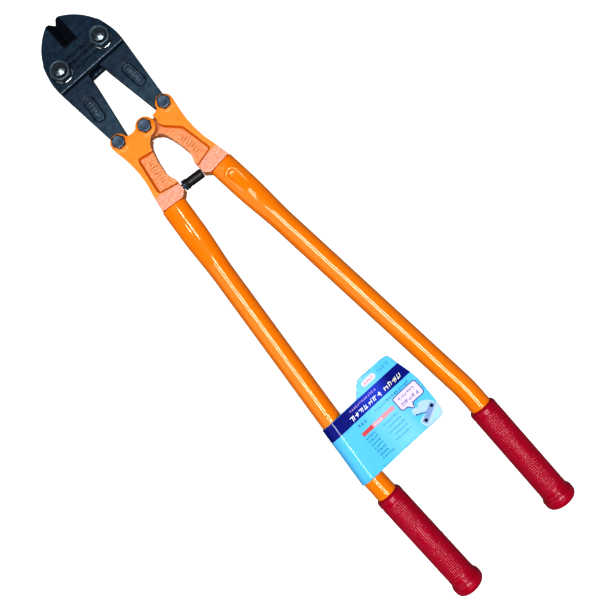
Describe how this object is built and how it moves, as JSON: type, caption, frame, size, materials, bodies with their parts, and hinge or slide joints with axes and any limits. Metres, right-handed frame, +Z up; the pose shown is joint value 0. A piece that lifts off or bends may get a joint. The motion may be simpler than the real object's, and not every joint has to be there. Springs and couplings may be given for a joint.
{
  "type": "bolt cutters",
  "caption": "Long-handled compound-lever bolt cutters, closed, with forged jaws between bolted link plates, cast handle heads, tubular handles, soft grips and a blank-printed sales card.",
  "frame": {"origin": "middle of the outline in X and Y, on the surface the tool lies on (lowest point in Z)", "axes": "+Y from the grips towards the jaws, +X towards the right handle seen from above, +Z up, square to the flat side of the tool"},
  "size_m": [0.1731, 0.7651, 0.051],
  "materials": {
    "forged_steel": "blue-black oxide coat on forged steel, satin, worn at the edges",
    "nut_steel": "gunmetal oxide with bright worn rims",
    "pivot_steel": "blue-grey zinc plating, satin",
    "casting_paint": "orange paint over a rough casting, semi-gloss",
    "tube_paint": "high-gloss orange paint",
    "grip_vinyl": "glossy crimson dipped vinyl with a fine dotted texture",
    "stop_rubber": "matt black rubber",
    "card_print": "coated sky-blue printed card with a navy band"
  },
  "bodies": {
    "head_links": {"top_link_plate": "forged_steel", "bottom_link_plate": "forged_steel", "left_jaw_bolt": "nut_steel", "right_jaw_bolt": "nut_steel", "left_jaw_nut": "nut_steel", "right_jaw_nut": "nut_steel", "jaw_nut_washers": "nut_steel"},
    "left_jaw": {"left_jaw": "forged_steel"},
    "right_jaw": {"right_jaw": "forged_steel"},
    "left_handle": {"left_handle_head": "casting_paint", "left_tube": "tube_paint", "left_grip": "grip_vinyl", "left_pivot_bolt": "pivot_steel", "left_pivot_nut": "pivot_steel", "centre_pivot_bolt": "pivot_steel", "centre_pivot_nut": "pivot_steel", "stop_screw": "pivot_steel", "stop_lock_nut": "pivot_steel", "stop_bumper": "stop_rubber"},
    "right_handle": {"right_handle_head": "casting_paint", "right_tube": "tube_paint", "right_grip": "grip_vinyl", "right_pivot_bolt": "pivot_steel", "right_pivot_nut": "pivot_steel"},
    "sales_card": {"sales_card": "card_print"}
  },
  "joints": [
    {"name": "left_handle_swing", "type": "hinge", "parent": "left_jaw", "child": "left_handle", "pos_m": [-0.0325, 0.233, 0.0221], "axis": [0, 0, -1], "range_deg": [0, 52.2]},
    {"name": "left_jaw_swing", "type": "hinge", "parent": "head_links", "child": "left_jaw", "pos_m": [-0.028, 0.328, 0.0221], "axis": [0, 0, 1], "range_deg": [0, 7.21]},
    {"name": "right_jaw_swing", "type": "hinge", "parent": "head_links", "child": "right_jaw", "pos_m": [0.028, 0.328, 0.0221], "axis": [0, 0, -1], "range_deg": [0, 7.21]},
    {"name": "right_handle_swing", "type": "hinge", "parent": "left_handle", "child": "right_handle", "pos_m": [0, 0.2275, 0.0221], "axis": [0, 0, 1], "range_deg": [0, 90]},
    {"name": "card_swing", "type": "hinge", "parent": "left_handle", "child": "sales_card", "pos_m": [-0.0346, 0.145, 0.0221], "axis": [-0.0981, -0.9952, 0], "range_deg": [0, 90]}
  ],
  "couplings": [
    {"joint": "left_jaw_swing", "follows": "left_handle_swing", "ratio": 0.138},
    {"joint": "right_jaw_swing", "follows": "left_handle_swing", "ratio": 0.138},
    {"joint": "right_handle_swing", "follows": "left_handle_swing", "ratio": 1.724}
  ]
}
